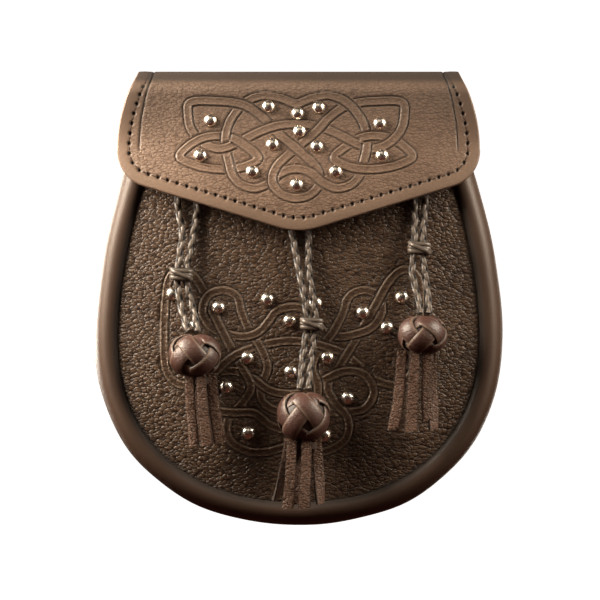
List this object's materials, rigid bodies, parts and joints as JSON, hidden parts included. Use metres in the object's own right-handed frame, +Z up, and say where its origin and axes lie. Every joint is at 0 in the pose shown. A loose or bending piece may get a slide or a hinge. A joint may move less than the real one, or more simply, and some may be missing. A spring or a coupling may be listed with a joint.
{
  "type": "sporran pouch",
  "caption": "Brown leather sporran pouch, rounded at the bottom, with a studded knotwork front, a pointed flap and leather tassels on plaited cords",
  "frame": {"origin": "middle of the strap passage behind the pouch, where the belt strap that carries it runs", "axes": "+Z up as worn, the front faces -Y, +X to the viewer's right"},
  "size_m": [0.1782, 0.0659, 0.199],
  "materials": {
    "grained_leather": "pebble grained, satin, embossed with knotwork",
    "smooth_leather": "smooth, waxed",
    "lace_leather": "thin plaited laces",
    "polished_nickel": "polished, a little warm"
  },
  "bodies": {
    "root": {"flap": "grained_leather", "front_panel": "grained_leather", "gusset": "smooth_leather", "back_panel": "smooth_leather", "strap_loop_left": "smooth_leather", "strap_loop_right": "smooth_leather", "left_anchor_tab": "smooth_leather", "left_turks_head": "smooth_leather", "left_tassel": "smooth_leather", "left_cord_a": "lace_leather", "left_cord_b": "lace_leather", "left_slide_knot": "lace_leather", "centre_anchor_tab": "smooth_leather", "centre_turks_head": "smooth_leather", "centre_tassel": "smooth_leather", "centre_cord_a": "lace_leather", "centre_cord_b": "lace_leather", "centre_slide_knot": "lace_leather", "right_anchor_tab": "smooth_leather", "right_turks_head": "smooth_leather", "right_tassel": "smooth_leather", "right_cord_a": "lace_leather", "right_cord_b": "lace_leather", "right_slide_knot": "lace_leather", "flap_catch": "polished_nickel", "flap_stud_01": "polished_nickel", "flap_stud_02": "polished_nickel", "flap_stud_03": "polished_nickel", "flap_stud_04": "polished_nickel", "flap_stud_05": "polished_nickel", "flap_stud_06": "polished_nickel", "flap_stud_07": "polished_nickel", "flap_stud_08": "polished_nickel", "flap_stud_09": "polished_nickel", "flap_stud_10": "polished_nickel", "flap_stud_11": "polished_nickel", "flap_stud_12": "polished_nickel", "flap_stud_13": "polished_nickel", "panel_stud_01": "polished_nickel", "panel_stud_02": "polished_nickel", "panel_stud_03": "polished_nickel", "panel_stud_04": "polished_nickel", "panel_stud_05": "polished_nickel", "panel_stud_06": "polished_nickel", "panel_stud_07": "polished_nickel", "panel_stud_08": "polished_nickel", "panel_stud_09": "polished_nickel", "panel_stud_10": "polished_nickel", "panel_stud_11": "polished_nickel", "panel_stud_12": "polished_nickel", "panel_stud_13": "polished_nickel", "panel_stud_14": "polished_nickel", "panel_stud_15": "polished_nickel", "panel_stud_16": "polished_nickel"}
  },
  "joints": []
}
